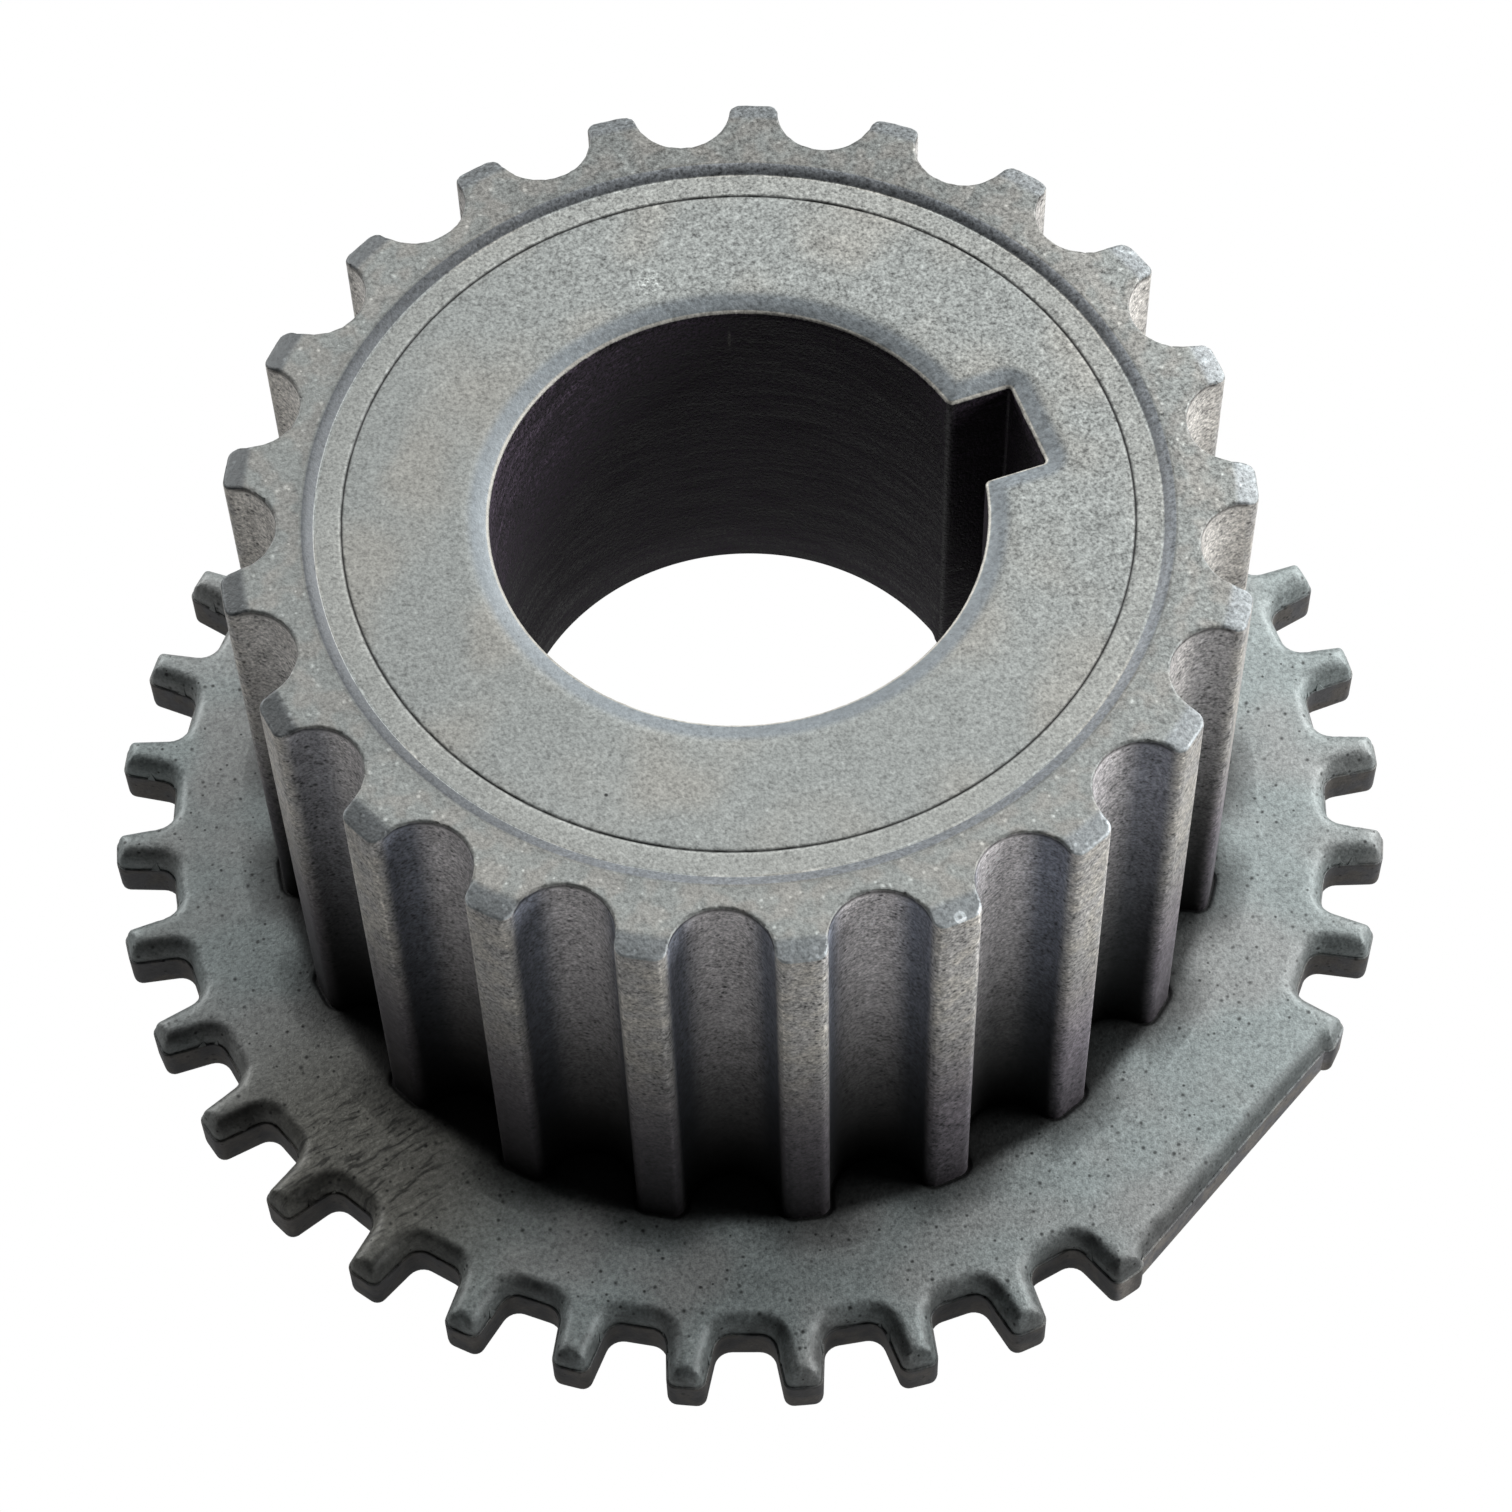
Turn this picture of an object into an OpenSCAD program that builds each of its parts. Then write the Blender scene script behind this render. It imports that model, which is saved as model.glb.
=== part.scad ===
// Timing belt gear with an integral trigger wheel, pressed and sintered in one piece.
// A drum with round-bottomed belt grooves stands on a thin toothed flange.
// Two neighbouring trigger teeth are missing and a straight flat joins the gap.
// Origin: bore axis, at the underside of the flange. +Z towards the hub face.
// The keyway lies on +X, in line with the middle of one belt tooth.

/* [Belt drum] */
// Number of belt teeth around the drum
belt_teeth = 21; // [20:1:24]
// Belt pitch, measured along the pitch line
belt_pitch = 8; // [7.8:0.1:8.2]
// Distance from the tooth tips out to the pitch line
pitch_line_offset = 0.686; // [0.5:0.01:0.8]
// Radial depth of a belt groove
groove_depth = 2.92; // [2.6:0.02:3.1]
// Radius of the groove's round bottom
groove_bottom_r = 2.55; // [2.4:0.05:2.6]
// Radius of the rounded corners of each belt tooth
tooth_corner_r = 0.6; // [0.4:0.05:0.7]
// Length of the belt teeth, from the flange to their ends
tooth_length = 28; // [22:0.5:34]
// Radial width of the bevel on the outer end of each tooth
tooth_bevel_w = 1.2; // [0.6:0.1:1.6]
// Drop of that bevel at the tip
tooth_bevel_h = 0.4; // [0.2:0.05:0.6]

/* [Hub] */
// Bore diameter
bore_d = 25; // [22:0.5:27]
// Keyway width
key_w = 5; // [4:0.5:6]
// Distance from the bore axis to the keyway floor
key_floor = 15.6; // [15:0.1:16.4]
// Radius in the two corners of the keyway floor
key_corner_r = 0.4; // [0.2:0.1:0.8]
// Width of the soft chamfer around the bore and the keyway
rim_w = 1.3; // [0.8:0.1:1.5]
// Drop of that chamfer
rim_h = 0.4; // [0.2:0.05:0.6]
// Depth of the hub face below the ends of the belt teeth
face_recess = 0.3; // [0.2:0.05:0.6]
// Radial wall left between the recessed hub face and the groove roots
ring_wall = 1.88; // [1.5:0.02:2.2]
// Radial width of the sloping step up to the tooth ring
step_w = 0.65; // [0.4:0.05:0.8]
// Radius of the fine seam line pressed into the hub face
seam_r = 19.86; // [19:0.02:20]
// Width of that seam line
seam_w = 0.16; // [0.1:0.02:0.3]
// Depth of the recess under the hub
under_depth = 8.2; // [4:0.1:12]
// Radius of the recess under the hub
under_r = 18.4; // [17.5:0.1:18.8]
// Chamfer at the mouth of the recess
under_chamfer = 0.6; // [0.3:0.1:0.8]

/* [Trigger wheel] */
// Thickness of the toothed flange
flange_t = 3.5; // [3:0.1:5]
// Number of tooth places around the rim, of which two are empty
places = 36; // [36]
// Radius to the tips of the trigger teeth
trigger_tip_r = 35.17; // [34.9:0.05:36]
// Radius to the floors of the gaps
trigger_root_r = 32.06; // [31.8:0.05:32.4]
// Half width of a gap at its floor, before rounding
gap_half_root = 1.45; // [1.3:0.05:1.55]
// Half width of a gap at the tip circle, before rounding
gap_half_tip = 2.09; // [1.9:0.05:2.15]
// Radius in the two lower corners of a gap
gap_root_r = 0.9; // [0.5:0.1:1]
// Radius on the two tip corners of a trigger tooth
gap_tip_r = 0.55; // [0.3:0.05:0.6]
// Distance from the axis to the flat that bridges the missing teeth
flat_dist = 33.81; // [33.6:0.05:33.9]
// Direction of the flat's normal, a whole number of tooth places from the keyway
flat_angle = -60; // [-60]
// Radius rolled onto the upper edge of the tooth tips
edge_roll = 0.8; // [0.4:0.1:1]

/* [Hidden] */
$fn = 120;

tip_r = belt_teeth * belt_pitch / PI / 2 - pitch_line_offset;
root_r = tip_r - groove_depth;
step_r = root_r - ring_wall;
top_z = flange_t + tooth_length;
face_z = top_z - face_recess;
place_a = 360 / places;

// Points along an arc, from angle a0 to angle a1 in n steps.
function arc(cx, cy, r, a0, a1, n) =
    [for (i = [0 : n]) let (a = a0 + (a1 - a0) * i / n) [cx + r * cos(a), cy + r * sin(a)]];

// The points of a list mirrored across the y axis, in reverse order.
function mirrored(p) = [for (i = [len(p) - 1 : -1 : 0]) [-p[i][0], p[i][1]]];

// A point pushed a little away from the origin, so that a cut passes the surface cleanly.
function pushed(p, d) = p * (1 + d / norm(p));

// The right half of a belt groove, from the bottom out past the tips.
// A round bottom runs straight into the rounded corner of the tooth.
groove_cy = root_r + groove_bottom_r;
corner_R = tip_r - tooth_corner_r;
corner_cy = (corner_R * corner_R - pow(groove_bottom_r + tooth_corner_r, 2) + groove_cy * groove_cy) / (2 * groove_cy);
corner_cx = sqrt(corner_R * corner_R - corner_cy * corner_cy);
blend_a = atan2(corner_cy - groove_cy, corner_cx);
groove_low = arc(0, groove_cy, groove_bottom_r, -90, blend_a, 12);
groove_corner = arc(corner_cx, corner_cy, tooth_corner_r, 180 + blend_a, atan2(corner_cy, corner_cx), 5);
groove_half = concat(
    [for (i = [1 : 12]) groove_low[i]],
    [for (i = [1 : 4]) groove_corner[i]],
    [pushed(groove_corner[5], 0.03), pushed(groove_corner[5], 1.5)]);

// The right half of a trigger gap, in the same way.
gap_slope = (gap_half_tip - gap_half_root) / (trigger_tip_r - trigger_root_r);
gap_a = atan(gap_slope);
low_cy = trigger_root_r + gap_root_r;
low_cx = gap_half_root + gap_slope * gap_root_r - gap_root_r / cos(gap_a);
tip_R = trigger_tip_r - gap_tip_r;
tip_k = gap_half_root - gap_slope * trigger_root_r + gap_tip_r / cos(gap_a);
tip_cy = (-tip_k * gap_slope + sqrt(pow(tip_k * gap_slope, 2) - (1 + gap_slope * gap_slope) * (tip_k * tip_k - tip_R * tip_R))) / (1 + gap_slope * gap_slope);
tip_cx = tip_k + gap_slope * tip_cy;
gap_low = arc(low_cx, low_cy, gap_root_r, -90, -gap_a, 5);
gap_tip = arc(tip_cx, tip_cy, gap_tip_r, 180 - gap_a, atan2(tip_cy, tip_cx), 4);
gap_half = concat(gap_low,
    [for (i = [0 : 3]) gap_tip[i]],
    [pushed(gap_tip[4], 0.03), pushed(gap_tip[4], 1.5)]);

// The right half of the cut that makes the flat. It starts on the flat's centre line
// and ends on the rounded corner of the last tooth, which stands a little proud of it.
last_a = atan2(tip_cx, tip_cy) + place_a;
last_cx = tip_R * sin(last_a);
last_cy = tip_R * cos(last_a);
kink_a = 180 - asin((flat_dist - last_cy) / gap_tip_r);
last_tip = arc(last_cx, last_cy, gap_tip_r, kink_a, 90 - last_a, 4);
flat_half = concat(
    [for (i = [0 : 3]) last_tip[i]],
    [pushed(last_tip[4], 0.03), pushed(last_tip[4], 1.5)]);

// Drum with the recessed hub face, the step and the bevelled tooth ends.
module drum_blank() {
    rotate_extrude()
        polygon([
            [0, flange_t - 0.6],
            [tip_r, flange_t - 0.6],
            [tip_r, top_z - tooth_bevel_h],
            [tip_r - tooth_bevel_w, top_z],
            [step_r + step_w, top_z],
            [step_r, face_z],
            [0, face_z]]);
}

// One belt groove, cut from just above the flange to past the end of the teeth.
module belt_groove() {
    translate([0, 0, flange_t])
        linear_extrude(height = tooth_length + 1)
            polygon(concat(mirrored(groove_half), groove_half));
}

// Round flange blank with the upper edge of the rim rolled over.
module flange_blank() {
    rotate_extrude()
        polygon([
            [0, 0],
            [trigger_tip_r - 0.2, 0],
            [trigger_tip_r, 0.2],
            [trigger_tip_r, flange_t - edge_roll],
            [trigger_tip_r - edge_roll * 0.3, flange_t - edge_roll * 0.3],
            [trigger_tip_r - edge_roll, flange_t],
            [0, flange_t]]);
}

// One gap between two trigger teeth.
module trigger_gap() {
    translate([0, 0, -1])
        linear_extrude(height = flange_t + 2)
            polygon(concat(mirrored(gap_half), gap_half));
}

// The cut that leaves the flat where two teeth are missing.
module trigger_flat() {
    translate([0, 0, -1])
        linear_extrude(height = flange_t + 2)
            polygon(concat(mirrored(flat_half), flat_half));
}

// Flange with its teeth. The gaps lie on whole tooth places from the keyway,
// and the three next to the missing teeth are left out for the flat.
module trigger_wheel() {
    difference() {
        flange_blank();
        for (i = [0 : places - 1])
            let (off = abs((i * place_a - flat_angle + 540) % 360 - 180))
                if (off > place_a * 1.5)
                    rotate([0, 0, i * place_a - 90]) trigger_gap();
        rotate([0, 0, flat_angle - 90]) trigger_flat();
    }
}

// Drum with its grooves. The keyway points at the middle of one tooth.
module belt_drum() {
    difference() {
        drum_blank();
        for (i = [0 : belt_teeth - 1])
            rotate([0, 0, (i + 0.5) * 360 / belt_teeth - 90]) belt_groove();
    }
}

// Keyway with rounded floor corners, through the hub along +X.
module keyway() {
    translate([0, 0, -1])
        linear_extrude(height = top_z + 2)
            polygon(concat(
                [[0, -key_w / 2]],
                arc(key_floor - key_corner_r, -key_w / 2 + key_corner_r, key_corner_r, -90, 0, 4),
                arc(key_floor - key_corner_r, key_w / 2 - key_corner_r, key_corner_r, 0, 90, 4),
                [[0, key_w / 2]]));
}

// Shallow chamfer around the keyway: two crossed wedges leave mitred corners.
module keyway_rim() {
    w = key_w / 2;
    intersection() {
        rotate([90, 0, 90])
            linear_extrude(height = key_floor + rim_w + 1)
                polygon([[-w, face_z - rim_h], [w, face_z - rim_h],
                         [w + rim_w * 1.5, face_z + rim_h * 0.5], [-w - rim_w * 1.5, face_z + rim_h * 0.5]]);
        translate([0, 20, 0]) rotate([90, 0, 0])
            linear_extrude(height = 40)
                polygon([[0, face_z - rim_h], [key_floor, face_z - rim_h],
                         [key_floor + rim_w * 1.5, face_z + rim_h * 0.5], [0, face_z + rim_h * 0.5]]);
    }
}

// Fine seam line pressed into the hub face.
module seam_line() {
    rotate_extrude()
        polygon([[seam_r - seam_w / 2, face_z + 0.05], [seam_r, face_z - seam_w * 0.7], [seam_r + seam_w / 2, face_z + 0.05]]);
}

// Recess under the hub, with a chamfered mouth.
module under_recess() {
    translate([0, 0, -1]) cylinder(r = under_r, h = under_depth + 1);
    translate([0, 0, -0.01]) cylinder(r1 = under_r + under_chamfer + 0.01, r2 = under_r, h = under_chamfer + 0.01);
}

module timing_gear() {
    color([0.45, 0.43, 0.40])
    difference() {
        union() {
            trigger_wheel();
            belt_drum();
        }
        under_recess();
        translate([0, 0, -1]) cylinder(d = bore_d, h = top_z + 2);
        translate([0, 0, face_z - rim_h]) cylinder(r1 = bore_d / 2, r2 = bore_d / 2 + rim_w * 1.5, h = rim_h * 1.5);
        translate([0, 0, under_depth - 0.01]) cylinder(r1 = bore_d / 2 + 0.5, r2 = bore_d / 2, h = 0.5);
        keyway();
        keyway_rim();
        seam_line();
    }
}

timing_gear();
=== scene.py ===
import math

import bpy
import numpy as np
from mathutils import Matrix, Vector, noise
from mathutils.geometry import delaunay_2d_cdt


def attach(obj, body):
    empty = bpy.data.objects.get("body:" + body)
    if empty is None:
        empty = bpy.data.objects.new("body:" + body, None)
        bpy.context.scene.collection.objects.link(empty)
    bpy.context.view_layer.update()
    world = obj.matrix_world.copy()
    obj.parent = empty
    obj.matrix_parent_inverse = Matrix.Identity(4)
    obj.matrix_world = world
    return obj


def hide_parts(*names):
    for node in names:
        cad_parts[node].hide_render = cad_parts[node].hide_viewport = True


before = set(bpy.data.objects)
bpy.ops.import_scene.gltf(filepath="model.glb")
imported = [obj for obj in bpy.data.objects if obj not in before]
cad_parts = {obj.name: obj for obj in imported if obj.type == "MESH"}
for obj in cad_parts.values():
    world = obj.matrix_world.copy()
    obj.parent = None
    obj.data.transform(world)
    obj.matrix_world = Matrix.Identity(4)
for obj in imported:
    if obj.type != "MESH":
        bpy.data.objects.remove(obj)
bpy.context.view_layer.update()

# ---------------------------------------------------------------- sizes, in millimetres
TEETH = 21
TIP_R = 26.052
ROOT_R = 23.132
GROOVE_R = 2.55
CORNER_R = 0.60
FLANGE = 3.5
TOP = 31.5
FACE = 31.2
BEVEL_R0 = 24.85
BEVEL_H = 0.34
STEP_R0, STEP_R1 = 21.28, 21.83
SEAM_R = 19.86
BORE_R = 12.5
KEY_W = 2.5
KEY_X = 15.6
RIM_W, RIM_H = 1.35, 0.40
T_TIP, T_ROOT = 35.17, 32.06
GAP_B0, GAP_B1 = 1.45, 2.09
GAP_RR, GAP_TR = 0.90, 0.55
FLAT_D = 33.81
FLAT_A = -60.0
WALL_TOP = 2.25
LEDGE = 0.12
ROLL_W = 0.95
UNDER_Z, UNDER_R = 8.2, 18.4
EDGE = 0.12


def rad(a):
    return a * math.pi / 180.0


def arc(cx, cy, r, a0, a1, n):
    a = np.radians(np.linspace(a0, a1, n + 1))
    return np.c_[cx + r * np.cos(a), cy + r * np.sin(a)]


def spin(p, a):
    """Local points (tangential, radial) turned to the direction a in degrees."""
    c, s = math.cos(rad(a)), math.sin(rad(a))
    return np.c_[p[:, 1] * c - p[:, 0] * s, p[:, 1] * s + p[:, 0] * c]


def tidy(p, tol=1e-5):
    """Drops points that repeat the one before them, the last against the first too."""
    keep = [0]
    for i in range(1, len(p)):
        if np.hypot(*(p[i] - p[keep[-1]])) > tol:
            keep.append(i)
    p = p[keep]
    while np.hypot(*(p[-1] - p[0])) < tol:
        p = p[:-1]
    return p


# ---------------------------------------------------------------- outlines
def drum_outline():
    gy = ROOT_R + GROOVE_R
    R = TIP_R - CORNER_R
    cy = (R * R - (GROOVE_R + CORNER_R) ** 2 + gy * gy) / (2 * gy)
    cx = math.sqrt(R * R - cy * cy)
    b = math.degrees(math.atan2(cy - gy, cx))
    end = math.degrees(math.atan2(cy, cx))
    half = np.vstack([arc(0, gy, GROOVE_R, -90, b, 13), arc(cx, cy, CORNER_R, 180 + b, end, 6)[1:]])
    groove = np.vstack([half[::-1] * [-1, 1], half[1:]])
    groove = groove[::-1]
    out = []
    pitch = 360.0 / TEETH
    end_a = 90 - end
    for i in range(TEETH):
        a = (i + 0.5) * pitch
        g = spin(groove, a)
        if np.degrees(np.arctan2(*(spin(groove, 0)[0][::-1]))) > 0:
            g = g[::-1]
        out.append(g)
        l0, l1 = a + end_a, a + pitch - end_a
        out.append(arc(0, 0, TIP_R, l0, l1, 5)[1:-1])
    return tidy(np.vstack(out))


def trigger_parts():
    m = (GAP_B1 - GAP_B0) / (T_TIP - T_ROOT)
    b = math.degrees(math.atan(m))
    cb = math.cos(math.atan(m))
    lcy = T_ROOT + GAP_RR
    lcx = GAP_B0 + m * GAP_RR - GAP_RR / cb
    R = T_TIP - GAP_TR
    k = GAP_B0 - m * T_ROOT + GAP_TR / cb
    tcy = (-k * m + math.sqrt((k * m) ** 2 - (1 + m * m) * (k * k - R * R))) / (1 + m * m)
    tcx = k + m * tcy
    low = arc(lcx, lcy, GAP_RR, -90, -b, 6)
    tip = arc(tcx, tcy, GAP_TR, 180 - b, math.degrees(math.atan2(tcy, tcx)), 5)
    flank = low[-1] + (tip[0] - low[-1]) * np.linspace(0, 1, 5)[1:-1, None]
    floor = np.c_[np.linspace(0, lcx, 3)[:-1], np.full(2, T_ROOT)]
    half = np.vstack([floor, low, flank, tip])
    la = math.degrees(math.atan2(tcx, tcy)) + 10
    lx, ly = R * math.sin(rad(la)), R * math.cos(rad(la))
    ka = 180 - math.degrees(math.asin((FLAT_D - ly) / GAP_TR))
    last = arc(lx, ly, GAP_TR, ka, 90 - la, 6)
    run = np.c_[np.linspace(0, last[0][0], 36)[:-1], np.full(35, FLAT_D)]
    flat = np.vstack([run, last])
    return half, flat, math.degrees(math.atan2(tcx, tcy))


def trigger_outline():
    half, flat, ea = trigger_parts()
    full_gap = np.vstack([half[::-1] * [-1, 1], half[1:]])
    full_flat = np.vstack([flat[::-1] * [-1, 1], flat[1:]])
    # in the local frame a positive tangential value lies on the clockwise side
    full_gap = full_gap * [-1, 1]
    full_flat = full_flat * [-1, 1]
    if spin(full_gap, 90)[0][0] < spin(full_gap, 90)[-1][0]:
        full_gap = full_gap[::-1]
        full_flat = full_flat[::-1]
    out = []
    k = 0
    while k < 36:
        a = k * 10.0
        if k == 29:
            out.append(spin(full_flat, 300.0))
            out.append(arc(0, 0, T_TIP, 310 + ea, 320 - ea, 4)[1:-1])
            k = 32
            continue
        out.append(spin(full_gap, a))
        out.append(arc(0, 0, T_TIP, a + ea, a + 10 - ea, 4)[1:-1])
        k += 1
    return tidy(np.vstack(out))


def bore_outline():
    a0 = math.degrees(math.asin(KEY_W / BORE_R))
    x0 = BORE_R * math.cos(rad(a0))
    trim = 1.6
    body = arc(0, 0, BORE_R, a0 + trim, 360 - a0 - trim, 270)

    def bend(p, c, q, n=4):
        t = np.linspace(0, 1, n + 1)[:, None]
        return (1 - t) ** 2 * p + 2 * t * (1 - t) * c + t * t * q

    c_low, c_up = np.array([x0, -KEY_W]), np.array([x0, KEY_W])
    s_low, s_up = np.array([x0 + 0.32, -KEY_W]), np.array([x0 + 0.32, KEY_W])
    rr = 0.20
    side = np.linspace(x0 + 0.32, KEY_X - rr, 9)
    low = np.c_[side, np.full(9, -KEY_W)]
    up = np.c_[side[::-1], np.full(9, KEY_W)]
    fl = np.c_[np.full(11, KEY_X), np.linspace(-KEY_W + rr, KEY_W - rr, 11)]
    pts = np.vstack([
        body,
        bend(body[-1], c_low, s_low)[1:],
        low[1:],
        arc(KEY_X - rr, -KEY_W + rr, rr, -90, 0, 5)[1:],
        fl[1:],
        arc(KEY_X - rr, KEY_W - rr, rr, 0, 90, 5)[1:],
        up[1:],
        bend(s_up, c_up, body[0])[1:-1]])
    return tidy(pts)


def normals(p):
    """Unit normals of a closed anticlockwise loop, pointing to its inside."""
    a = np.roll(p, 1, 0)
    b = np.roll(p, -1, 0)
    d1 = p - a
    d2 = b - p
    d1 /= np.linalg.norm(d1, axis=1)[:, None]
    d2 /= np.linalg.norm(d2, axis=1)[:, None]
    t = d1 + d2
    t /= np.linalg.norm(t, axis=1)[:, None]
    return np.c_[-t[:, 1], t[:, 0]]


def area2(p):
    q = np.roll(p, -1, 0)
    return float((p[:, 0] * q[:, 1] - p[:, 1] * q[:, 0]).sum())


def dist_to(loop, pts):
    """Shortest distance from each point to a closed loop."""
    a = loop
    b = np.roll(loop, -1, 0)
    d = b - a
    l2 = (d * d).sum(1)
    out = np.empty(len(pts))
    for i in range(0, len(pts), 1500):
        q = pts[i:i + 1500]
        w = q[:, None, :] - a[None]
        t = np.clip((w * d[None]).sum(2) / l2[None], 0, 1)
        r = w - t[..., None] * d[None]
        out[i:i + 1500] = np.sqrt((r * r).sum(2).min(1))
    return out


def inside(loop, pts):
    """True for each point that lies inside a closed loop."""
    x0, y0 = loop[:, 0], loop[:, 1]
    x1, y1 = np.roll(x0, -1), np.roll(y0, -1)
    res = np.empty(len(pts), bool)
    for i in range(0, len(pts), 4000):
        q = pts[i:i + 4000]
        x, y = q[:, 0][:, None], q[:, 1][:, None]
        c = (y0[None] > y) != (y1[None] > y)
        with np.errstate(divide="ignore", invalid="ignore"):
            xi = (x1 - x0)[None] * (y - y0[None]) / (y1 - y0)[None] + x0[None]
        res[i:i + 4000] = ((c & (x < xi)).sum(1) % 2) == 1
    return res


def ring(r, n, phase=0.0):
    a = np.linspace(0, 2 * math.pi, n, endpoint=False) + phase
    return np.c_[r * np.cos(a), r * np.sin(a)]


def offset_rings(loop, deltas, sign):
    """Rings of points set off from a loop, without those that would come nearer to another stretch of it."""
    n = normals(loop) * sign
    out = []
    for d in deltas:
        p = loop + n * d
        ok = dist_to(loop, p) > d * 0.985 - 1e-4
        out.append(p[ok])
    return out


def fill(outer, inner, sets, cell=0.07):
    """Triangles over the region between two loops, through all the points given.
    Returns the points, outer loop first and inner loop next, and the triangles."""
    pts = [tuple(p) for p in outer] + [tuple(p) for p in inner]
    seen = set()
    for p in pts:
        seen.add((round(p[0] / cell), round(p[1] / cell)))
    extra = []
    for s in sets:
        for p in s:
            key = (round(p[0] / cell), round(p[1] / cell))
            if key not in seen:
                seen.add(key)
                extra.append(p)
    extra = np.array(extra)
    ok = inside(outer, extra) & ~inside(inner, extra)
    ok &= (dist_to(outer, extra) > 0.018) & (dist_to(inner, extra) > 0.018)
    extra = extra[ok]
    allp = np.vstack([outer, inner, extra])
    no, ni = len(outer), len(inner)
    edges = [(i, (i + 1) % no) for i in range(no)] + [(no + i, no + (i + 1) % ni) for i in range(ni)]
    vo, _, fo, _, _, _ = delaunay_2d_cdt([Vector((float(x), float(y))) for x, y in allp], edges, [], 0, 1e-6)
    v = np.array([(q.x, q.y) for q in vo])
    f = np.array([list(t) for t in fo if len(t) == 3])
    # snap back to the exact input points
    if len(v) == len(allp):
        v = allp
    c = v[f].mean(1)
    f = f[inside(outer, c) & ~inside(inner, c)]
    d1 = v[f[:, 1]] - v[f[:, 0]]
    d2 = v[f[:, 2]] - v[f[:, 0]]
    cr = d1[:, 0] * d2[:, 1] - d1[:, 1] * d2[:, 0]
    f[cr < 0] = f[cr < 0][:, ::-1]
    f = f[np.abs(cr) > 1e-9]
    return v, f


def smooth(a, b, x):
    t = np.clip((x - a) / (b - a), 0, 1)
    return t * t * (3 - 2 * t)


def wob(pts, scale, seed, octaves=3):
    """Smooth repeatable noise between about -1 and 1."""
    out = np.empty(len(pts))
    for i, p in enumerate(pts):
        out[i] = noise.fractal(Vector((p[0] * scale + seed, p[1] * scale - seed * 1.7, (p[2] * scale if len(p) > 2 else 0.0) + seed * 0.31)), 0.6, 2.1, octaves)
    return out


D = drum_outline()
T = trigger_outline()
K = bore_outline()
for name, loop in (("drum", D), ("trigger", T), ("bore", K)):
    if area2(loop) < 0:
        raise SystemExit("outline runs clockwise: " + name)

PARTS = []


def add(v, f):
    PARTS.append((np.asarray(v, float), [list(map(int, q)) for q in f]))


def wall(rows, closed=True, flip=False):
    """Quads between rows of equal length, each row a closed loop of 3-D points."""
    n = len(rows[0])
    v = np.vstack(rows)
    f = []
    for j in range(len(rows) - 1):
        for i in range(n):
            k = (i + 1) % n
            q = [j * n + i, j * n + k, (j + 1) * n + k, (j + 1) * n + i]
            f.append(q[::-1] if flip else q)
    add(v, f)


def up(p, z):
    return np.c_[p, np.full(len(p), z) if np.isscalar(z) else z]


# ---------------------------------------------------------------- hub face, step, tooth ring
def ring_top(r):
    """Height of the end faces along the radius, without their edges."""
    z = np.full(r.shape, FACE)
    # the outer annulus is pressed by another punch and stands a hair higher
    z = z + 0.02 * smooth(SEAM_R + 0.02, SEAM_R + 0.10, r)
    z = z - 0.05 * np.clip(1 - np.abs(r - SEAM_R) / 0.07, 0, 1)
    # a fine foot line, the slope, and a soft shoulder
    t = np.clip((r - STEP_R0) / (STEP_R1 - STEP_R0), 0, 1)
    z = z + (TOP - FACE - 0.02) * (1 - (1 - t) ** 1.35)
    z = z - 0.02 * np.clip(1 - np.abs(r - STEP_R0 + 0.02) / 0.05, 0, 1)
    # bevel on the outer ends of the teeth
    u = np.clip((r - BEVEL_R0) / (TIP_R - BEVEL_R0), 0, 1)
    z = z - BEVEL_H * u ** 1.15
    return z


def round_edge(d, R):
    x = np.clip(1 - d / R, 0, 1)
    return R * (1 - np.sqrt(np.clip(1 - x * x, 0, 1)))


def top_height(p):
    r = np.hypot(p[:, 0], p[:, 1])
    z = ring_top(r)
    dk = dist_to(K, p)
    t = np.clip(1 - dk / RIM_W, 0, 1)
    z = z - RIM_H * (0.35 * t + 0.65 * t ** 1.8) * (t > 0)
    z = z - round_edge(dk, 0.10)
    dd = dist_to(D, p)
    # the groove edges carry a slightly ragged burr
    w = wob(p, 1.9, 4.0, 3)
    R = np.clip(EDGE * (1.0 + 0.55 * w), 0.05, 0.22)
    z = z - round_edge(dd, R)
    z = z + 0.012 * wob(p, 0.35, 9.0, 2) * smooth(0.1, 0.8, dd) * smooth(0.1, 0.8, dk)
    return z


k_rings = offset_rings(K, [0.03, 0.07, 0.13, 0.25, 0.42, 0.62, 0.85, 1.08, 1.28, 1.42, 1.7, 2.1], -1)
d_rings = offset_rings(D, [0.03, 0.07, 0.12, 0.18, 0.3, 0.5, 0.8], 1)
circles = [ring(r, n, ph) for r, n, ph in [
    (15.0, 150, 0), (15.8, 160, .01), (16.6, 170, 0), (17.4, 180, .01), (18.2, 200, 0), (18.9, 240, 0), (19.4, 300, 0), (19.68, 360, 0),
    (19.77, 480, 0), (19.82, 480, 0), (19.86, 480, 0), (19.90, 480, 0), (19.95, 480, 0), (20.05, 360, 0), (20.4, 300, 0),
    (20.8, 300, 0), (21.05, 360, 0), (21.18, 480, 0), (21.25, 480, 0), (21.31, 480, 0), (21.38, 480, 0), (21.5, 420, 0), (21.62, 420, 0), (21.74, 420, 0), (21.84, 420, 0), (22.0, 360, 0),
    (22.35, 300, 0), (22.75, 300, 0), (23.2, 300, .005), (23.7, 320, 0), (24.2, 320, .005), (24.6, 340, 0), (24.8, 420, 0), (24.9, 420, 0), (25.1, 420, 0), (25.4, 420, 0), (25.7, 420, 0)]]
v, f = fill(D, K, k_rings[:3] + d_rings[:3] + circles[8:13] + circles[16:20] + k_rings[3:] + d_rings[3:] + circles)
z = top_height(v)
add(up(v, z), f)
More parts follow.
